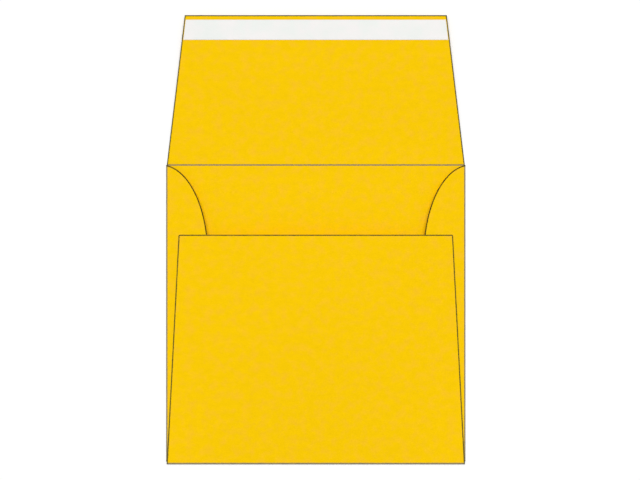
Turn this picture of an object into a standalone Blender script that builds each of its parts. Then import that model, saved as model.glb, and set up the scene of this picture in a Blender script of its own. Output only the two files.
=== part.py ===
"""Square greeting-card envelope, lying on its address face with its flap open.

The envelope is one die-cut paper blank. The blank is drawn flat, cut along a grid and along its fold
lines, and every point is then carried to its folded place, as the paper is folded in a machine. The gum
in the two seams, the seal adhesive and its release liner are pieces of their own.

Frame: origin at the middle of the square address face, on its outside. +Y points to the open flap,
+Z away from the address face.
"""

import math

import bmesh
import bpy
from mathutils import Vector

# Sizes of the paper blank, in metres
BODY_SIZE = 0.160
PAPER = 0.00015
FLAP_DEPTH = 0.0799
FLAP_TIP_WIDTH = 0.1398
FLAP_RISE = math.radians(2.0)
THROAT_DROP = 0.0373
BOTTOM_FLAP_TOP_WIDTH = 0.1465
SIDE_FLAP_WIDTH = 0.0223
SHOULDER_OVERLAP = 0.0021
SHOULDER_DROP = 0.0481
CORNER_RELIEF = 0.0010
THROAT_CORNER_RADIUS = 0.0008

# How the folded layers lie: the folds spring open a little and the pocket gapes
SIDE_FOLD_INNER_RADIUS = 0.00018
POCKET_LIFT = 0.0065
CLEARANCE = 0.0003

# Gum in the seams between the side flaps and the bottom flap
GUM_THICKNESS = 0.00008
GUM_WIDTH = 0.0080
GUM_EDGE_MARGIN = 0.0030
GUM_THROAT_MARGIN = 0.0050
GUM_FOOT_MARGIN = 0.0140

# Seal adhesive and its release liner along the tip of the flap
LINER_THICKNESS = 0.00008
LINER_WIDTH = 0.0107
LINER_TIP_MARGIN = 0.0024
ADHESIVE_THICKNESS = 0.00005
ADHESIVE_WIDTH = 0.0080
STRIP_END_MARGIN = 0.0008

# How finely curves and folds are divided
PANEL_CELLS = 16
FOLD_STEPS = 6
SHOULDER_STEPS = 14
CORNER_STEPS = 4

# Places that follow from the sizes
PAPER_MIDDLE = PAPER / 2
SIDE_FOLD_RADIUS = SIDE_FOLD_INNER_RADIUS + PAPER_MIDDLE
SEAM_THICKNESS = PAPER + GUM_THICKNESS + 2 * CLEARANCE
BOTTOM_FOLD_RADIUS = SIDE_FOLD_RADIUS + SEAM_THICKNESS / 2
SIDE_LINE = BODY_SIZE / 2 - SIDE_FOLD_RADIUS - PAPER_MIDDLE
BOTTOM_LINE = -BODY_SIZE / 2 + BOTTOM_FOLD_RADIUS + PAPER_MIDDLE
TOP_LINE = BODY_SIZE / 2
THROAT_Y = TOP_LINE - THROAT_DROP
SIDE_FOLD_LENGTH = math.pi * SIDE_FOLD_RADIUS
BOTTOM_FOLD_LENGTH = math.pi * BOTTOM_FOLD_RADIUS
GUM_MIDDLE = 2 * SIDE_FOLD_RADIUS + PAPER + CLEARANCE + GUM_THICKNESS / 2
ADHESIVE_HEIGHT = PAPER_MIDDLE + CLEARANCE + ADHESIVE_THICKNESS / 2
LINER_HEIGHT = ADHESIVE_HEIGHT + ADHESIVE_THICKNESS / 2 + CLEARANCE + LINER_THICKNESS / 2
COLUMN = 2 * SIDE_LINE / PANEL_CELLS
ROW = (TOP_LINE - BOTTOM_LINE) / PANEL_CELLS


def clear_scene():
    """Remove every object, so that the script can be run again."""
    for item in list(bpy.data.objects):
        bpy.data.objects.remove(item)


def blend(low, high, share):
    """A value between low and high."""
    return low + (high - low) * share


def pocket_lift(x, y):
    """How far the gaping back of the pocket stands above its flat place at a point."""
    across = max(0.0, 1 - (x / SIDE_LINE) ** 2)
    share = (y - BOTTOM_LINE) / (THROAT_Y - BOTTOM_LINE)
    share = min(1.0, max(0.0, share))
    return POCKET_LIFT * across * share * (2 - share)


def fold_back(distance, radius):
    """Reach and height past a fold line for paper that turns right back on itself."""
    turn = min(distance / radius, math.pi)
    straight = distance - turn * radius
    return radius * math.sin(turn) - straight, radius * (1 - math.cos(turn))


def on_flap(x, distance, height):
    """A point on the open flap, a distance past its fold and a height above the paper's middle."""
    y = TOP_LINE + distance * math.cos(FLAP_RISE) - height * math.sin(FLAP_RISE)
    z = PAPER_MIDDLE + distance * math.sin(FLAP_RISE) + height * math.cos(FLAP_RISE)
    return x, y, z


def folded(u, v):
    """Carry a point of the flat blank to its place in the folded envelope."""
    if v > TOP_LINE:
        return on_flap(u, v - TOP_LINE, 0.0)
    x, y, height = u, v, 0.0
    if v < BOTTOM_LINE:
        reach, height = fold_back(BOTTOM_LINE - v, BOTTOM_FOLD_RADIUS)
        y = BOTTOM_LINE - reach
        height += pocket_lift(x, y)
    elif abs(u) > SIDE_LINE:
        reach, height = fold_back(abs(u) - SIDE_LINE, SIDE_FOLD_RADIUS)
        x = math.copysign(SIDE_LINE + reach, u)
        height += pocket_lift(x, y)
    return x, y, PAPER_MIDDLE + height


def shoulder(start_y, direction):
    """The elliptic end of a side flap, from the fold line out to the flap's full width."""
    reach = SIDE_FOLD_LENGTH + SIDE_FLAP_WIDTH + SHOULDER_OVERLAP
    first = math.asin(SHOULDER_OVERLAP / reach)
    points = []
    for step in range(SHOULDER_STEPS + 1):
        angle = blend(first, math.pi / 2, step / SHOULDER_STEPS)
        past_fold = reach * math.sin(angle) - SHOULDER_OVERLAP
        along = SHOULDER_DROP * (math.cos(first) - math.cos(angle))
        points.append((SIDE_LINE + past_fold, start_y + direction * along))
    return points


def rounded_corner(before, corner, after, radius):
    """Points of the arc that rounds off a corner of an outline."""
    back = (Vector(before) - Vector(corner)).normalized()
    ahead = (Vector(after) - Vector(corner)).normalized()
    half_angle = back.angle(ahead) / 2
    centre = Vector(corner) + (back + ahead).normalized() * radius / math.sin(half_angle)
    first = (Vector(corner) + back * radius / math.tan(half_angle) - centre).normalized()
    last = (Vector(corner) + ahead * radius / math.tan(half_angle) - centre).normalized()
    shares = [step / CORNER_STEPS for step in range(CORNER_STEPS + 1)]
    return [centre + radius * first.slerp(last, share) for share in shares]


def blank_outline():
    """Outline of the flat blank, clockwise from the right corner of the flap's tip."""
    flap_tip = TOP_LINE + FLAP_DEPTH
    flap_root = (SIDE_LINE, BOTTOM_LINE - BOTTOM_FOLD_LENGTH)
    throat = BOTTOM_LINE - BOTTOM_FOLD_LENGTH - (THROAT_Y - BOTTOM_LINE)
    throat_corner = (BOTTOM_FLAP_TOP_WIDTH / 2, throat)
    right = [(FLAP_TIP_WIDTH / 2, flap_tip)]
    right += shoulder(TOP_LINE, -1)
    right += reversed(shoulder(BOTTOM_LINE + CORNER_RELIEF, 1))
    right += [(SIDE_LINE, BOTTOM_LINE), flap_root]
    right += rounded_corner(flap_root, throat_corner, (0.0, throat), THROAT_CORNER_RADIUS)
    left = [(-u, v) for u, v in reversed(right)]
    return right + left


def fill_outline(points):
    """A flat face with the given outline."""
    flat = bmesh.new()
    flat.faces.new([flat.verts.new((x, y, 0.0)) for x, y in points])
    return flat


def cut_across(flat, axis, place):
    """Cut the flat sheet along a straight line, across x when axis is 0 and across y when it is 1."""
    point = [0.0, 0.0, 0.0]
    normal = [0.0, 0.0, 0.0]
    point[axis] = place
    normal[axis] = 1.0
    everything = flat.verts[:] + flat.edges[:] + flat.faces[:]
    bmesh.ops.bisect_plane(flat, geom=everything, dist=1e-7, plane_co=point, plane_no=normal)


def grid_lines(start, step, count):
    """Evenly spaced places of cutting lines."""
    return [start + step * index for index in range(count)]


def cut_blank(flat):
    """Cut the blank along its folds, and into a grid that is fine across the bends."""
    steps = range(FOLD_STEPS + 1)
    rows = grid_lines(BOTTOM_LINE, ROW, PANEL_CELLS + 1)
    rows += [BOTTOM_LINE - BOTTOM_FOLD_LENGTH * step / FOLD_STEPS for step in steps]
    rows += grid_lines(BOTTOM_LINE - BOTTOM_FOLD_LENGTH, -ROW, PANEL_CELLS)
    columns = grid_lines(0.0, COLUMN, PANEL_CELLS // 2)
    columns += [SIDE_LINE + SIDE_FOLD_LENGTH * step / FOLD_STEPS for step in steps]
    columns += grid_lines(SIDE_LINE + SIDE_FOLD_LENGTH, COLUMN, PANEL_CELLS // 2)
    for place in rows:
        cut_across(flat, 1, place)
    for place in columns:
        cut_across(flat, 0, place)
        cut_across(flat, 0, -place)


def principled(name, colour, roughness):
    """A plain Principled material."""
    material = bpy.data.materials.new(name)
    material.use_nodes = True
    shader = material.node_tree.nodes["Principled BSDF"]
    shader.inputs["Base Color"].default_value = (*colour, 1.0)
    shader.inputs["Roughness"].default_value = roughness
    shader.inputs["Metallic"].default_value = 0.0
    material.diffuse_color = (*colour, 1.0)
    return material


def sheet_object(name, surface, thickness, material, collection):
    """Turn an open middle surface into a named sheet of the given thickness."""
    bmesh.ops.recalc_face_normals(surface, faces=surface.faces)
    mesh = bpy.data.meshes.new(name)
    surface.to_mesh(mesh)
    surface.free()
    mesh.materials.append(material)
    sheet = bpy.data.objects.new(name, mesh)
    collection.objects.link(sheet)
    solid = sheet.modifiers.new("Thickness", "SOLIDIFY")
    solid.thickness = thickness
    solid.offset = 0.0
    solid.use_even_offset = True
    return sheet


def make_blank(material, collection):
    """The folded paper blank: address panel, top flap, side flaps and bottom flap in one sheet."""
    flat = fill_outline(blank_outline())
    cut_blank(flat)
    for vert in flat.verts:
        vert.co = folded(vert.co.x, vert.co.y)
    return sheet_object("envelope_blank", flat, PAPER, material, collection)


def bottom_flap_edge(y):
    """Half of the bottom flap's width at a height on the envelope."""
    share = (y - BOTTOM_LINE) / (THROAT_Y - BOTTOM_LINE)
    return blend(SIDE_LINE, BOTTOM_FLAP_TOP_WIDTH / 2, share)


def make_gum(name, side, material, collection):
    """Dried gum between a side flap and the bottom flap, along the bottom flap's slanted edge."""
    low = BOTTOM_LINE + GUM_FOOT_MARGIN
    high = THROAT_Y - GUM_THROAT_MARGIN
    outline = []
    for y, inset in ((low, 0), (high, 0), (high, GUM_WIDTH), (low, GUM_WIDTH)):
        outline.append((side * (bottom_flap_edge(y) - GUM_EDGE_MARGIN - inset), y))
    film = fill_outline(outline)
    for place in grid_lines(BOTTOM_LINE, ROW, PANEL_CELLS):
        cut_across(film, 1, place)
    for place in grid_lines(0.0, COLUMN, PANEL_CELLS // 2):
        cut_across(film, 0, side * place)
    for vert in film.verts:
        vert.co.z = GUM_MIDDLE + pocket_lift(vert.co.x, vert.co.y)
    return sheet_object(name, film, GUM_THICKNESS, material, collection)


def flap_edge(distance):
    """Half of the open flap's width at a distance past its fold."""
    return blend(SIDE_LINE, FLAP_TIP_WIDTH / 2, distance / FLAP_DEPTH)


def make_flap_strip(name, centre, width, height, thickness, material, collection):
    """A strip across the flap, its ends cut alongside the flap's slanted edges."""
    near = centre - width / 2
    far = centre + width / 2
    near_end = flap_edge(near) - STRIP_END_MARGIN
    far_end = flap_edge(far) - STRIP_END_MARGIN
    outline = [(near_end, near), (far_end, far), (-far_end, far), (-near_end, near)]
    strip = fill_outline(outline)
    for vert in strip.verts:
        vert.co = on_flap(vert.co.x, vert.co.y, height)
    return sheet_object(name, strip, thickness, material, collection)


def build_envelope():
    """Make the envelope and everything that is stuck to it."""
    clear_scene()
    collection = bpy.data.collections.new("square_envelope")
    bpy.context.scene.collection.children.link(collection)
    paper = principled("yellow_paper", (0.947, 0.573, 0.006), 0.75)
    gum = principled("dried_gum", (0.80, 0.62, 0.25), 0.45)
    adhesive = principled("seal_adhesive", (0.85, 0.83, 0.76), 0.30)
    liner = principled("liner_paper", (0.88, 0.88, 0.86), 0.35)

    blank = make_blank(paper, collection)
    strip_centre = FLAP_DEPTH - LINER_TIP_MARGIN - LINER_WIDTH / 2
    attached = [
        make_gum("seam_gum_left", -1, gum, collection),
        make_gum("seam_gum_right", 1, gum, collection),
        make_flap_strip("seal_adhesive", strip_centre, ADHESIVE_WIDTH, ADHESIVE_HEIGHT,
                        ADHESIVE_THICKNESS, adhesive, collection),
        make_flap_strip("release_liner", strip_centre, LINER_WIDTH, LINER_HEIGHT,
                        LINER_THICKNESS, liner, collection),
    ]
    for piece in attached:
        piece.parent = blank


build_envelope()
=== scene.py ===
"""Looks of the square envelope: the folded paper with its soft folds and cut edges, the release liner
over its adhesive, the gum in the seams, and a plain studio around them."""

import math

import bmesh
import bpy
from mathutils import Color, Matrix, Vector, noise


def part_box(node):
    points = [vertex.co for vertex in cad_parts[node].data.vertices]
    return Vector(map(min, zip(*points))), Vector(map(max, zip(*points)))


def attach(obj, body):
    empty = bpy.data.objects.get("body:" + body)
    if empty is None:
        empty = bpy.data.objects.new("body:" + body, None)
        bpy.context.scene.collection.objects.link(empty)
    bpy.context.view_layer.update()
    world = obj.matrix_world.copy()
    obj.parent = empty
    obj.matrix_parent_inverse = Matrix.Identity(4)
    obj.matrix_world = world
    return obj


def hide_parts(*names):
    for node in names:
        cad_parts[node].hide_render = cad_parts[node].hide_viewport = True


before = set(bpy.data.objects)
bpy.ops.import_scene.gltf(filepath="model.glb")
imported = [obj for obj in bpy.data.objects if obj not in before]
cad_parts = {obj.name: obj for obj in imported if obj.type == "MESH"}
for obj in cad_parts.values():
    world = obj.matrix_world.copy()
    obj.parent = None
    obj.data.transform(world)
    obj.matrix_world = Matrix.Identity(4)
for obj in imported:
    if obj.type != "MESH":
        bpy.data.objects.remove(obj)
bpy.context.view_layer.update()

MM = 0.001

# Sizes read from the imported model
blank_low, blank_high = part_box("envelope_blank")
liner_low, liner_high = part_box("release_liner")
adhesive_low, adhesive_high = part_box("seal_adhesive")
gum_low, gum_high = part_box("seam_gum_right")

# Sizes of the paper blank that its box does not give
PAPER = 0.15 * MM
FLAP_TIP_WIDTH = 139.8 * MM
FLAP_RISE = math.radians(2.0)
THROAT_DROP = 37.3 * MM
BOTTOM_FLAP_TOP_WIDTH = 146.5 * MM
SIDE_FLAP_WIDTH = 22.3 * MM
SHOULDER_OVERLAP = 2.1 * MM
SHOULDER_DROP = 48.1 * MM
CORNER_RELIEF = 1.0 * MM
THROAT_CORNER_RADIUS = 0.8 * MM

# How the layers lie on each other
SIDE_FOLD_INNER_RADIUS = 0.18 * MM
LAYER_CLEARANCE = 0.02 * MM
GUM_THICKNESS = 0.08 * MM
GUM_WIDTH = 8.0 * MM
GUM_EDGE_MARGIN = 3.0 * MM
ADHESIVE_THICKNESS = 0.05 * MM
LINER_THICKNESS = 0.08 * MM

# Painted shade along the cut edges and the folds: dark lines that stand for the thin shadow at each
# edge
EDGE_LINE = 0.45 * MM
EDGE_FADE = 0.32 * MM
OPEN_EDGE_SHADE_SHARE = 0.90
FOLD_LINE = 0.21 * MM
FOLD_FADE = 0.37 * MM

# Relief of the paper
CREASE_SWELL = 0.09 * MM
CREASE_SWELL_REACH = 1.3 * MM
COCKLE_HEIGHT = 0.35 * MM
COCKLE_LENGTH = 42.0 * MM
COCKLE_FADE = 12.0 * MM
COCKLE_SLICE = 0.7
SHOW_THROUGH = 0.06 * MM
SHOW_THROUGH_REACH = 2.5 * MM

# How finely the paper is divided
CELL = 2.0 * MM
SHORTEST_EDGE = 0.003 * MM
CUT_TOLERANCE = 1e-7
FOLD_STEPS = 8
SHOULDER_STEPS = 48
CORNER_STEPS = 6
SWELL_ROWS = (0.25, 0.75, 1.0, 1.5, 2.0, 3.0, 4.5)
SHARP_ANGLE = math.radians(35)

# Places that follow from the sizes, on a body that is square and lies around the origin
PAPER_MIDDLE = PAPER / 2
SIDE_FOLD_RADIUS = SIDE_FOLD_INNER_RADIUS + PAPER_MIDDLE
SEAM_THICKNESS = PAPER + GUM_THICKNESS + 2 * LAYER_CLEARANCE
BOTTOM_FOLD_RADIUS = SIDE_FOLD_RADIUS + SEAM_THICKNESS / 2
TOP_LINE = blank_high.x
SIDE_LINE = blank_high.x - SIDE_FOLD_RADIUS - PAPER_MIDDLE
BOTTOM_LINE = blank_low.y + BOTTOM_FOLD_RADIUS + PAPER_MIDDLE
THROAT_Y = TOP_LINE - THROAT_DROP
POCKET_LIFT = blank_high.z - PAPER - 2 * BOTTOM_FOLD_RADIUS
FLAP_DEPTH = (blank_high.y - TOP_LINE) / math.cos(FLAP_RISE)
SIDE_FOLD_LENGTH = math.pi * SIDE_FOLD_RADIUS
BOTTOM_FOLD_LENGTH = math.pi * BOTTOM_FOLD_RADIUS
SHOULDER_REACH = SIDE_FOLD_LENGTH + SIDE_FLAP_WIDTH + SHOULDER_OVERLAP
SHOULDER_START = math.asin(SHOULDER_OVERLAP / SHOULDER_REACH)
FOLD_RIMS = (FOLD_LINE, FOLD_LINE + FOLD_FADE)


def blend(low, high, share):
    """A value between low and high."""
    return low + (high - low) * share


def smooth_step(value):
    """0 below 0 and 1 above 1, with an S-shaped rise between."""
    share = min(1.0, max(0.0, value))
    return share * share * (3 - 2 * share)


# The folded form of the paper


def pocket_lift(x, y):
    """How far the gaping back of the pocket stands above its flat place at a point."""
    across = max(0.0, 1 - (x / SIDE_LINE) ** 2)
    share = min(1.0, max(0.0, (y - BOTTOM_LINE) / (THROAT_Y - BOTTOM_LINE)))
    return POCKET_LIFT * across * share * (2 - share)


def cockle(x, y, from_fold):
    """The slow waves of a sheet that has taken up a little moisture, fading out towards a fold."""
    place = Vector((x / COCKLE_LENGTH, y / COCKLE_LENGTH, COCKLE_SLICE))
    return COCKLE_HEIGHT * noise.noise(place) * smooth_step(from_fold / COCKLE_FADE)


def back_relief(x, y):
    """Height that the side flaps and the bottom flap share, so that they stay parallel."""
    from_fold = min(SIDE_LINE - abs(x), y - BOTTOM_LINE)
    return pocket_lift(x, y) + cockle(x, y, from_fold)


def side_flap_edge(y):
    """Distance from the middle line to the inner edge of the folded side flaps."""
    along = max(0.0, min(TOP_LINE - y, y - BOTTOM_LINE - CORNER_RELIEF))
    angle = math.acos(max(0.0, math.cos(SHOULDER_START) - along / SHOULDER_DROP))
    return SIDE_LINE + SIDE_FOLD_LENGTH + SHOULDER_OVERLAP - SHOULDER_REACH * math.sin(angle)


def show_through(x, y):
    """The bottom flap sinks a little past the inner edge of the side flap under it."""
    past_edge = min(side_flap_edge(y) - abs(x), y - BOTTOM_LINE)
    return -SHOW_THROUGH * smooth_step(past_edge / SHOW_THROUGH_REACH)


def crease_swell(distance):
    """The paper swells on both sides of the opened fold before it lies flat again."""
    share = distance / CREASE_SWELL_REACH
    return CREASE_SWELL * share * math.exp(1 - share)


def fold_back(distance, radius, height):
    """Reach and height of a point past a fold line, for paper that turns right back on itself."""
    turn = min(distance / radius, math.pi)
    straight = distance - turn * radius
    inside = radius - height
    return inside * math.sin(turn) - straight, radius - inside * math.cos(turn)


def on_flap(x, distance, height):
    """A point on the open flap, a distance past its fold and a height above the paper's middle."""
    height += crease_swell(distance) + cockle(x, distance, distance)
    y = TOP_LINE + distance * math.cos(FLAP_RISE) - height * math.sin(FLAP_RISE)
    z = PAPER_MIDDLE + distance * math.sin(FLAP_RISE) + height * math.cos(FLAP_RISE)
    return Vector((x, y, z))


def folded(u, v, height):
    """Place in the folded envelope of a point at a height over the middle of the flat blank."""
    if v > TOP_LINE:
        return on_flap(u, v - TOP_LINE, height)
    if v < BOTTOM_LINE:
        reach, height = fold_back(BOTTOM_LINE - v, BOTTOM_FOLD_RADIUS, height)
        y = BOTTOM_LINE - reach
        return Vector((u, y, PAPER_MIDDLE + height + back_relief(u, y) + show_through(u, y)))
    if abs(u) > SIDE_LINE:
        reach, height = fold_back(abs(u) - SIDE_LINE, SIDE_FOLD_RADIUS, height)
        x = math.copysign(SIDE_LINE + reach, u)
        return Vector((x, v, PAPER_MIDDLE + height + back_relief(x, v)))
    return Vector((u, v, PAPER_MIDDLE + height + crease_swell(TOP_LINE - v)))


# Outline of the flat blank


def shoulder(start_y, direction):
    """The elliptic end of a side flap, from the fold line out to the flap's full width."""
    points = []
    for step in range(SHOULDER_STEPS + 1):
        angle = blend(SHOULDER_START, math.pi / 2, step / SHOULDER_STEPS)
        past_fold = SHOULDER_REACH * math.sin(angle) - SHOULDER_OVERLAP
        along = SHOULDER_DROP * (math.cos(SHOULDER_START) - math.cos(angle))
        points.append(Vector((SIDE_LINE + past_fold, start_y + direction * along)))
    return points


def rounded_corner(before, corner, after, radius):
    """Points of the arc that rounds off a corner of an outline."""
    back = (before - corner).normalized()
    ahead = (after - corner).normalized()
    half_angle = back.angle(ahead) / 2
    centre = corner + (back + ahead).normalized() * radius / math.sin(half_angle)
    first = (corner + back * radius / math.tan(half_angle) - centre).normalized()
    last = (corner + ahead * radius / math.tan(half_angle) - centre).normalized()
    shares = [step / CORNER_STEPS for step in range(CORNER_STEPS + 1)]
    return [centre + radius * first.slerp(last, share) for share in shares]


def blank_outline():
    """Outline of the flat blank, clockwise from the right corner of the flap's tip."""
    flap_root = Vector((SIDE_LINE, BOTTOM_LINE - BOTTOM_FOLD_LENGTH))
    throat = BOTTOM_LINE - BOTTOM_FOLD_LENGTH - (THROAT_Y - BOTTOM_LINE)
    throat_corner = Vector((BOTTOM_FLAP_TOP_WIDTH / 2, throat))
    right = [Vector((FLAP_TIP_WIDTH / 2, TOP_LINE + FLAP_DEPTH))]
    right += shoulder(TOP_LINE, -1)
    right += reversed(shoulder(BOTTOM_LINE + CORNER_RELIEF, 1))
    right += [Vector((SIDE_LINE, BOTTOM_LINE)), flap_root]
    right += rounded_corner(flap_root, throat_corner, Vector((0.0, throat)), THROAT_CORNER_RADIUS)
    left = [Vector((-point.x, point.y)) for point in reversed(right)]
    return right + left


# Sheets


def inset(points, distance):
    """A clockwise outline moved inwards by a distance, with mitred corners."""
    moved = []
    for before, here, after in zip(points[-1:] + points[:-1], points, points[1:] + points[:1]):
        along = (here - before).normalized(), (after - here).normalized()
        first, second = (Vector((way.y, -way.x)) for way in along)
        moved.append(here + (first + second) * distance / (1 + first.dot(second)))
    return moved


def flat_sheet(points, line, fade):
    """A flat face with a clockwise outline, and a rim along it for painted shade, which fades out
    inwards.
    """
    flat = bmesh.new()
    cut_edge = flat.verts.layers.float.new("cut_edge")
    rings = []
    for distance, painted_shade in ((0.0, 1.0), (line, 1.0), (line + fade, 0.0)):
        ring = [flat.verts.new((point.x, point.y, 0.0)) for point in inset(points, distance)]
        for vert in ring:
            vert[cut_edge] = painted_shade
        rings.append(ring)
    for outer, inner in zip(rings, rings[1:]):
        for here, (left, right) in enumerate(zip(outer, inner)):
            flat.faces.new((outer[here - 1], left, right, inner[here - 1]))
    flat.faces.new(rings[-1])
    return flat


def cut_across(flat, axis, place):
    """Cut the flat sheet along a straight line, across x when axis is 0 and across y when it is 1."""
    point = [0.0, 0.0, 0.0]
    normal = [0.0, 0.0, 0.0]
    point[axis] = place
    normal[axis] = 1.0
    everything = flat.verts[:] + flat.edges[:] + flat.faces[:]
    bmesh.ops.bisect_plane(flat, geom=everything, dist=CUT_TOLERANCE, plane_co=point, plane_no=normal)


def evenly(start, end, step):
    """Places from start to end, about a step apart and both ends included."""
    count = max(1, round(abs(end - start) / step))
    return [blend(start, end, index / count) for index in range(count + 1)]


def cut_blank(flat):
    """Cut the blank along its folds, and into a grid that is fine across the bends."""
    far_side = SIDE_LINE + SIDE_FOLD_LENGTH
    far_bottom = BOTTOM_LINE - BOTTOM_FOLD_LENGTH
    rows = evenly(BOTTOM_LINE, TOP_LINE, CELL) + evenly(TOP_LINE, TOP_LINE + FLAP_DEPTH, CELL)
    rows += evenly(far_bottom, BOTTOM_LINE, BOTTOM_FOLD_LENGTH / FOLD_STEPS)
    rows += evenly(far_bottom, far_bottom + BOTTOM_LINE - THROAT_Y, CELL)
    rows += [place for painted_shade in FOLD_RIMS for place in (BOTTOM_LINE + painted_shade, far_bottom - painted_shade)]
    rows += [TOP_LINE + side * painted_shade for side in (-1, 1) for painted_shade in FOLD_RIMS]
    swells = [share * CREASE_SWELL_REACH for share in SWELL_ROWS]
    rows += [TOP_LINE + side * swell for side in (-1, 1) for swell in swells]
    columns = evenly(0.0, SIDE_LINE, CELL) + evenly(far_side, far_side + SIDE_FLAP_WIDTH, CELL)
    columns += evenly(SIDE_LINE, far_side, SIDE_FOLD_LENGTH / FOLD_STEPS)
    columns += [place for painted_shade in FOLD_RIMS for place in (SIDE_LINE - painted_shade, far_side + painted_shade)]
    for place in rows:
        cut_across(flat, 1, place)
    for place in columns:
        cut_across(flat, 0, place)
        cut_across(flat, 0, -place)
    bmesh.ops.remove_doubles(flat, verts=flat.verts[:], dist=SHORTEST_EDGE)


def fold_shade_share(u, v):
    """Share of painted shade: 1 on a fold's bend, fading to 0 beside it."""
    bends = (
        (abs(u), SIDE_LINE, SIDE_LINE + SIDE_FOLD_LENGTH),
        (-v, -BOTTOM_LINE, -BOTTOM_LINE + BOTTOM_FOLD_LENGTH),
        (v, TOP_LINE, TOP_LINE),
    )
    away = min(max(low - place, place - high) for place, low, high in bends)
    return min(1.0, max(0.0, 1 - (away - FOLD_LINE) / FOLD_FADE))


def put_in_order(items):
    """Sort edges or faces by their points, because an extrusion leaves them in any order."""
    ordered = sorted(items, key=lambda item: sorted(vert.index for vert in item.verts))
    for index, item in enumerate(ordered):
        item.index = index
    items.sort()


def sheet_piece(name, flat, thickness, place, material, node):
    """Give a flat sheet its thickness and its folded place, as a piece that stands for a node."""
    extruded = bmesh.ops.extrude_face_region(flat, geom=flat.faces[:], use_keep_orig=True)
    far_side = {item for item in extruded["geom"] if isinstance(item, bmesh.types.BMVert)}
    for vert in flat.verts:
        height = thickness / 2 if vert in far_side else -thickness / 2
        vert.co = place(vert.co.x, vert.co.y, height)
    bmesh.ops.recalc_face_normals(flat, faces=flat.faces[:])
    flat.verts.index_update()
    put_in_order(flat.edges)
    put_in_order(flat.faces)
    mesh = bpy.data.meshes.new(name)
    flat.to_mesh(mesh)
    flat.free()
    mesh.materials.append(material)
    mesh.shade_smooth()
    mesh.set_sharp_from_angle(angle=SHARP_ANGLE)
    sheet = bpy.data.objects.new(name, mesh)
    bpy.context.scene.collection.objects.link(sheet)
    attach(sheet, "root")
    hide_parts(node)
    return sheet


def make_paper(material):
    """The folded blank."""
    flat = flat_sheet(blank_outline(), EDGE_LINE, EDGE_FADE)
    cut_blank(flat)
    place = flat.verts.layers.float_vector.new("blank_place")
    fold_edge = flat.verts.layers.float.new("fold_edge")
    cut_edge = flat.verts.layers.float["cut_edge"]
    for vert in flat.verts:
        vert[place] = vert.co
        # Painted shade along the folds and the crease.
        vert[fold_edge] = fold_shade_share(vert.co.x, vert.co.y)
        on_side_flap = abs(vert.co.x) > SIDE_LINE and abs(vert.co.y) < TOP_LINE
        # Painted shadow: the side flaps' cut edges get the darkest line, the other cut edges a
        # lighter one.
        vert[cut_edge] *= 1.0 if on_side_flap else OPEN_EDGE_SHADE_SHARE
    return sheet_piece("folded_paper", flat, PAPER, folded, material, "envelope_blank")


def flap_edge(distance):
    """Half of the open flap's width at a distance past its fold."""
    return blend(SIDE_LINE, FLAP_TIP_WIDTH / 2, distance / FLAP_DEPTH)


def make_flap_strip(name, box, middle, thickness, material, node):
    """A strip across the flap, its ends cut alongside the flap's slanted edges."""
    near = (box[0].y - TOP_LINE) / math.cos(FLAP_RISE)
    far = (box[1].y - TOP_LINE) / math.cos(FLAP_RISE)
    end_margin = flap_edge(near) - box[1].x
    right = [Vector((flap_edge(place) - end_margin, place)) for place in (far, near)]
    left = [Vector((-point.x, point.y)) for point in reversed(right)]
    strip = flat_sheet(right + left, EDGE_LINE / 2, EDGE_FADE / 2)
    for place in evenly(-box[1].x, box[1].x, CELL):
        cut_across(strip, 0, place)
    for place in evenly(near, far, CELL / 2):
        cut_across(strip, 1, place)

    def on_strip(x, distance, height):
        return on_flap(x, distance, middle + height)

    return sheet_piece(name, strip, thickness, on_strip, material, node)


def bottom_flap_edge(y):
    """Half of the bottom flap's width at a height on the envelope."""
    share = (y - BOTTOM_LINE) / (THROAT_Y - BOTTOM_LINE)
    return blend(SIDE_LINE, BOTTOM_FLAP_TOP_WIDTH / 2, share)


def make_gum(name, side, material, node):
    """Dried gum between a side flap and the bottom flap, along the bottom flap's slanted edge."""
    outer = [Vector((bottom_flap_edge(y) - GUM_EDGE_MARGIN, y)) for y in (gum_high.y, gum_low.y)]
    inner = [Vector((point.x - GUM_WIDTH, point.y)) for point in reversed(outer)]
    outline = outer + inner
    if side < 0:
        outline = [Vector((-point.x, point.y)) for point in reversed(outline)]
    film = flat_sheet(outline, EDGE_LINE / 2, EDGE_FADE / 2)
    for place in evenly(gum_low.y, gum_high.y, CELL):
        cut_across(film, 1, place)
    for place in evenly(0.0, SIDE_LINE, CELL):
        cut_across(film, 0, side * place)
    middle = 2 * SIDE_FOLD_RADIUS + PAPER + LAYER_CLEARANCE + GUM_THICKNESS / 2

    def in_seam(x, y, height):
        return Vector((x, y, middle + height + back_relief(x, y)))

    return sheet_piece(name, film, GUM_THICKNESS, in_seam, material, node)


# Materials

# Noises: the size of their features, their detail and their distortion
FLECKS = (5.0 * MM, 2.0, 0.0)
CLOUDS = (3.2 * MM, 3.0, 0.0)
FIBRES = (0.45 * MM, 4.0, 1.5)
STRANDS = (0.16 * MM, 1.0, 0.3)
LINER_CLOUDS = (7.0 * MM, 3.0, 0.0)
LINER_FIBRES = (0.6 * MM, 3.0, 1.0)
GLUE_STREAKS = (2.5 * MM, 4.0, 0.8)

# Where each mark starts to show in its noise, and where it is full
MOST_OF_NOISE = (0.3, 0.7)
FLECK_RANGE = (0.45, 0.75)
STRAND_RANGE = (0.56, 0.72)
# The painted shade is fainter in patches that follow this range of the clouds
PAINTED_SHADE_PATCH_RANGE = (0.3, 0.6)
LINER_CLOUD_RANGE = (0.35, 0.65)
GLUE_STREAK_RANGE = (0.35, 0.65)

# Shades that a colour is multiplied by
CLOUD_SHADES = (0.98, 1.02)
FIBRE_SHADES = (0.97, 1.03)
# The painted shade along the folds and the cut edges varies between these
PAINTED_LINE_SHADES = (0.82, 1.18)

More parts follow.
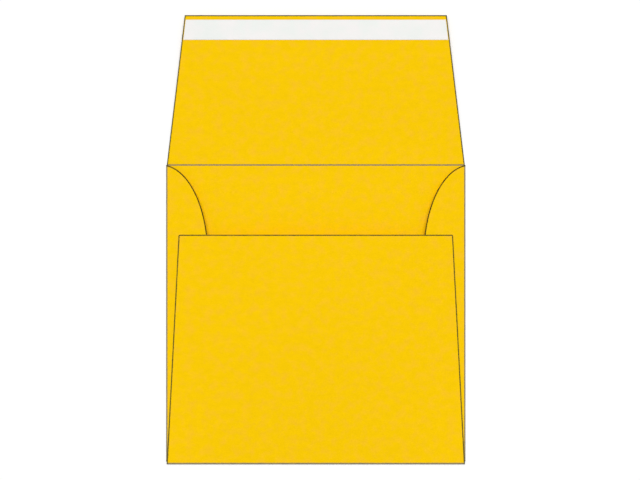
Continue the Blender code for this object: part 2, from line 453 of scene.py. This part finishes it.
# Clouds are longer along the grain, and strands are much longer than wide
CLOUD_GRAIN = (0.7, 1.0, 1.0)
STRAND_STRETCH = (8.0, 1.0, 1.0)

# The way that each layer of strands lies, in degrees, and the shade of its strands
STRAND_LAYERS = ((12, 0.955), (71, 1.04), (133, 0.965))

# How far the border of the painted shade follows the fibres, how faint the painted shade is in its
# faintest patch, and how much painted shade lies on the liner's edge
RAGGEDNESS = 0.6
LEAST_PAINTED_SHADE = 0.88
LINER_EDGE_SHADE_SHARE = 0.25

# Shine
PAPER_ROUGHNESS = (0.78, 0.92)
PAPER_SPECULAR = 0.06
LINER_ROUGHNESS = (0.33, 0.45)
LINER_SPECULAR = 0.45
GLUE_ROUGHNESS = 0.3
GLUE_SPECULAR = 0.5

# Relief that is too fine for the mesh
STRAND_RELIEF = 0.3
PAPER_BUMP = {"Strength": 0.7, "Distance": 0.05 * MM}
LINER_BUMP = {"Strength": 0.4, "Distance": 0.03 * MM}
GLUE_BUMP = {"Strength": 0.4, "Distance": 0.02 * MM}

# Colours, with values from 0 to 255
YELLOW = (251, 203, 1)
PALE_YELLOW = (252, 198, 32)
# Painted shade: grey along the folds and the crease, dark lines along the cut edges, darkest on the
# side flaps
PAINTED_FOLD_SHADE = (143, 131, 100)
PAINTED_OPEN_EDGE_SHADE = (82, 79, 36)
PAINTED_SIDE_FLAP_EDGE_SHADE = (58, 45, 9)
LINER_WARM = (235, 232, 230)
LINER_COOL = (231, 234, 230)
# Painted shade on the liner's cut edges
PAINTED_LINER_EDGE_SHADE = (205, 200, 180)
GUM_LIGHT = (222, 196, 120)
GUM_DARK = (204, 172, 90)
ADHESIVE_LIGHT = (238, 236, 226)
ADHESIVE_DARK = (228, 224, 208)

# Sockets of the Mix node that hold colours, which share their names with others
MIX_SHARE = 0
MIX_FIRST = 6
MIX_SECOND = 7
MIX_RESULT = 2


def linear(colour):
    """Blender's linear colour for a colour with values from 0 to 255."""
    shares = Color([value / 255 for value in colour])
    return (*shares.from_srgb_to_scene_linear(), 1.0)


def connect(tree, node, inputs):
    """Link each input to a socket, or set it to a value."""
    for key, value in inputs.items():
        if isinstance(value, bpy.types.NodeSocket):
            tree.links.new(value, node.inputs[key])
        else:
            node.inputs[key].default_value = value


def add(tree, kind, inputs=None, **settings):
    """Add a node with its properties and its inputs."""
    made = tree.nodes.new(kind)
    for key, value in settings.items():
        setattr(made, key, value)
    connect(tree, made, inputs or {})
    return made


def new_material(name):
    """A material, with its node tree and its Principled shader."""
    material = bpy.data.materials.new(name)
    material.use_nodes = True
    return material, material.node_tree, material.node_tree.nodes["Principled BSDF"]


def noise_at(tree, place, kind):
    """Noise of one of the kinds above, at a place in metres."""
    size, detail, distortion = kind
    inputs = {"Vector": place, "Scale": 1 / size, "Detail": detail, "Distortion": distortion}
    return add(tree, "ShaderNodeTexNoise", inputs).outputs["Fac"]


def spread(tree, value, start, end, low=0.0, high=1.0):
    """Stretch the range from start to end so that it runs from low to high, and stay within that."""
    inputs = {"Value": value, "From Min": start, "From Max": end, "To Min": low, "To Max": high}
    return add(tree, "ShaderNodeMapRange", inputs).outputs["Result"]


def varied(tree, texture, low=0.0, high=1.0):
    """A value between low and high that follows a noise."""
    return spread(tree, texture, *MOST_OF_NOISE, low, high)


def mix(tree, share, first, second, blend_type="MIX"):
    """Mix two colours."""
    inputs = {MIX_SHARE: share, MIX_FIRST: first, MIX_SECOND: second}
    made = add(tree, "ShaderNodeMix", inputs, data_type="RGBA", blend_type=blend_type)
    return made.outputs[MIX_RESULT]


def calculate(tree, operation, first, second):
    """Result of a calculation with two values."""
    return add(tree, "ShaderNodeMath", {0: first, 1: second}, operation=operation).outputs[0]


def times(tree, first, second):
    """Product of two values."""
    return calculate(tree, "MULTIPLY", first, second)


def shaded(tree, colour, shade):
    """A colour made lighter or darker by a factor."""
    grey = add(tree, "ShaderNodeCombineColor", {"Red": shade, "Green": shade, "Blue": shade})
    return mix(tree, 1.0, colour, grey.outputs["Color"], "MULTIPLY")


def attribute(tree, name, output):
    """A value kept on the mesh's points."""
    return add(tree, "ShaderNodeAttribute", attribute_name=name).outputs[output]


def set_surface(tree, shader, colour, roughness, specular, normal):
    """Give a shader its colour, shine and relief."""
    connect(tree, shader, {
        "Base Color": colour,
        "Roughness": roughness,
        "Specular IOR Level": specular,
        "Normal": normal,
    })


def relief(tree, height, bump):
    """Normals that make a height show."""
    return add(tree, "ShaderNodeBump", {"Height": height, **bump}).outputs["Normal"]


def strands(tree, place, turn):
    """Long thin fibres that lie one way: 1 on a fibre and 0 beside it."""
    rotation = (0.0, 0.0, math.radians(turn))
    inputs = {"Vector": place, "Rotation": rotation, "Scale": STRAND_STRETCH}
    along = add(tree, "ShaderNodeMapping", inputs, vector_type="TEXTURE").outputs[0]
    return spread(tree, noise_at(tree, along, STRANDS), *STRAND_RANGE)


def ragged(tree, painted_shade, fibres):
    """Painted shade whose border follows the fibres."""
    start = times(tree, fibres, RAGGEDNESS)
    return spread(tree, painted_shade, start, calculate(tree, "ADD", start, 1 - RAGGEDNESS))


def paint_edge_and_fold_shade(tree, colour, clouds, fibres):
    """The paper's colour with painted shade: grey along its folds and a darker line along its cut
    edges.
    """
    patchy = spread(tree, clouds, *PAINTED_SHADE_PATCH_RANGE, LEAST_PAINTED_SHADE, 1.0)
    border = varied(tree, fibres)
    shade = varied(tree, fibres, *PAINTED_LINE_SHADES)
    fold_share = times(tree, ragged(tree, attribute(tree, "fold_edge", "Fac"), border), patchy)
    colour = mix(tree, fold_share, colour, shaded(tree, linear(PAINTED_FOLD_SHADE), shade))
    # Painted shadow along the cut edges, darkest on the side flaps.
    edge_shade_share = attribute(tree, "cut_edge", "Fac")
    on_side_flap = spread(tree, edge_shade_share, OPEN_EDGE_SHADE_SHARE, 1.0)
    edge_colour = mix(tree, on_side_flap, linear(PAINTED_OPEN_EDGE_SHADE), linear(PAINTED_SIDE_FLAP_EDGE_SHADE))
    edge_share = times(tree, ragged(tree, edge_shade_share, border), patchy)
    return mix(tree, edge_share, colour, shaded(tree, edge_colour, shade))


def paper_material():
    """Uncoated yellow paper: cloudy colour and fine fibres, with painted shade as darker lines along
    its cut edges and grey along its folds.
    """
    material, tree, shader = new_material("yellow_paper")
    place = attribute(tree, "blank_place", "Vector")
    along_grain = add(tree, "ShaderNodeMapping", {"Vector": place, "Scale": CLOUD_GRAIN}).outputs[0]
    flecks = noise_at(tree, place, FLECKS)
    clouds = noise_at(tree, along_grain, CLOUDS)
    fibres = noise_at(tree, place, FIBRES)
    colour = mix(tree, spread(tree, flecks, *FLECK_RANGE), linear(YELLOW), linear(PALE_YELLOW))
    colour = shaded(tree, colour, varied(tree, clouds, *CLOUD_SHADES))
    colour = shaded(tree, colour, varied(tree, fibres, *FIBRE_SHADES))
    height = fibres
    for turn, shade in STRAND_LAYERS:
        strand = strands(tree, place, turn)
        colour = shaded(tree, colour, spread(tree, strand, 0.0, 1.0, 1.0, shade))
        height = calculate(tree, "ADD", height, times(tree, strand, STRAND_RELIEF))
    colour = paint_edge_and_fold_shade(tree, colour, clouds, fibres)
    roughness = varied(tree, fibres, *PAPER_ROUGHNESS)
    set_surface(tree, shader, colour, roughness, PAPER_SPECULAR, relief(tree, height, PAPER_BUMP))
    return material


def liner_material():
    """Siliconised release paper: pale, smooth and a little shiny, with faint cloudiness."""
    material, tree, shader = new_material("liner_paper")
    place = add(tree, "ShaderNodeTexCoord").outputs["Object"]
    clouds = noise_at(tree, place, LINER_CLOUDS)
    fibres = noise_at(tree, place, LINER_FIBRES)
    warmth = spread(tree, clouds, *LINER_CLOUD_RANGE)
    colour = mix(tree, warmth, linear(LINER_WARM), linear(LINER_COOL))
    # A faint painted shade along the liner's cut edges.
    edge_share = times(tree, attribute(tree, "cut_edge", "Fac"), LINER_EDGE_SHADE_SHARE)
    colour = mix(tree, edge_share, colour, linear(PAINTED_LINER_EDGE_SHADE))
    roughness = varied(tree, clouds, *LINER_ROUGHNESS)
    set_surface(tree, shader, colour, roughness, LINER_SPECULAR, relief(tree, fibres, LINER_BUMP))
    return material


def glue_material(name, light, dark):
    """Dried or tacky glue: a glossy film of uneven thickness."""
    material, tree, shader = new_material(name)
    place = add(tree, "ShaderNodeTexCoord").outputs["Object"]
    streaks = noise_at(tree, place, GLUE_STREAKS)
    colour = mix(tree, spread(tree, streaks, *GLUE_STREAK_RANGE), linear(light), linear(dark))
    set_surface(tree, shader, colour, GLUE_ROUGHNESS, GLUE_SPECULAR, relief(tree, streaks, GLUE_BUMP))
    return material


# Studio

# The camera looks straight down on the envelope
FRAME_WIDTH = 342.3 * MM
VIEW_CENTRE = Vector((2.25 * MM, 39.9 * MM, 0.0))
LENS = 120.0
SENSOR = 36.0

# Light on the envelope: an even surround, and one wide lamp on the flap's side
WHITE = (1.0, 1.0, 1.0, 1.0)
AMBIENT = 0.30
BACKDROP = 1.0
KEY_FROM = Vector((0.0, 0.35, 1.00))
KEY_SPREAD = math.radians(50)
KEY_STRENGTH = 2.34

# The floor lies just under the paper, and what the camera sees of it is lifted to white
FLOOR_REACH = 4.0
FLOOR_GAP = 0.02 * MM
FLOOR_COLOUR = (0.88, 0.88, 0.88, 1.0)
FLOOR_ROUGHNESS = 0.9
FLOOR_SPECULAR = 0.0
FLOOR_LIFT = 0.14


def make_camera():
    """A camera above the envelope, with the picture's framing."""
    data = bpy.data.cameras.new("camera")
    data.lens = LENS
    data.sensor_width = SENSOR
    camera = bpy.data.objects.new("camera", data)
    bpy.context.scene.collection.objects.link(camera)
    camera.location = VIEW_CENTRE + Vector((0.0, 0.0, FRAME_WIDTH * LENS / SENSOR))
    bpy.context.scene.camera = camera


def make_floor():
    """A pale floor that shows as white and keeps the shadow."""
    mesh = bpy.data.meshes.new("floor")
    plane = bmesh.new()
    bmesh.ops.create_grid(plane, x_segments=1, y_segments=1, size=FLOOR_REACH)
    plane.to_mesh(mesh)
    plane.free()
    floor = bpy.data.objects.new("floor", mesh)
    floor.location.z = -FLOOR_GAP
    bpy.context.scene.collection.objects.link(floor)
    material, tree, shader = new_material("floor")
    connect(tree, shader, {
        "Base Color": FLOOR_COLOUR,
        "Roughness": FLOOR_ROUGHNESS,
        "Specular IOR Level": FLOOR_SPECULAR,
    })
    seen = add(tree, "ShaderNodeLightPath").outputs["Is Camera Ray"]
    glow = add(tree, "ShaderNodeEmission", {"Strength": times(tree, seen, FLOOR_LIFT)})
    both = add(tree, "ShaderNodeAddShader", {0: shader.outputs["BSDF"], 1: glow.outputs["Emission"]})
    tree.links.new(both.outputs["Shader"], tree.nodes["Material Output"].inputs["Surface"])
    mesh.materials.append(material)


def make_world():
    """An even white surround: plain light on the object, white where it is seen or mirrored."""
    world = bpy.data.worlds.new("studio")
    bpy.context.scene.world = world
    world.use_nodes = True
    tree = world.node_tree
    path = add(tree, "ShaderNodeLightPath")
    seen = path.outputs["Is Camera Ray"]
    for output in ("Is Glossy Ray", "Is Transmission Ray"):
        seen = calculate(tree, "MAXIMUM", seen, path.outputs[output])
    lamp = add(tree, "ShaderNodeBackground", {"Color": WHITE, "Strength": AMBIENT})
    backdrop = add(tree, "ShaderNodeBackground", {"Color": WHITE, "Strength": BACKDROP})
    chosen = add(tree, "ShaderNodeMixShader", {0: seen, 1: lamp.outputs[0], 2: backdrop.outputs[0]})
    tree.links.new(chosen.outputs[0], tree.nodes["World Output"].inputs["Surface"])


def make_key_light():
    """One wide soft light, the same over the whole floor."""
    data = bpy.data.lights.new("key", "SUN")
    data.angle = KEY_SPREAD
    data.energy = KEY_STRENGTH
    key = bpy.data.objects.new("key", data)
    bpy.context.scene.collection.objects.link(key)
    key.rotation_euler = KEY_FROM.to_track_quat("Z", "Y").to_euler()


def make_envelope():
    """The folded paper, the gum in its seams, and the adhesive and its liner on the flap."""
    make_paper(paper_material())
    gum = glue_material("dried_gum", GUM_LIGHT, GUM_DARK)
    make_gum("gum_left", -1, gum, "seam_gum_left")
    make_gum("gum_right", 1, gum, "seam_gum_right")
    adhesive = glue_material("seal_adhesive", ADHESIVE_LIGHT, ADHESIVE_DARK)
    adhesive_middle = PAPER_MIDDLE + LAYER_CLEARANCE + ADHESIVE_THICKNESS / 2
    make_flap_strip("adhesive_band", (adhesive_low, adhesive_high), adhesive_middle,
                    ADHESIVE_THICKNESS, adhesive, "seal_adhesive")
    adhesive_top = adhesive_middle + ADHESIVE_THICKNESS / 2
    liner_middle = adhesive_top + LAYER_CLEARANCE + LINER_THICKNESS / 2
    make_flap_strip("liner_strip", (liner_low, liner_high), liner_middle,
                    LINER_THICKNESS, liner_material(), "release_liner")


make_camera()
make_floor()
make_world()
make_key_light()
bpy.context.scene.view_settings.view_transform = "Standard"
make_envelope()
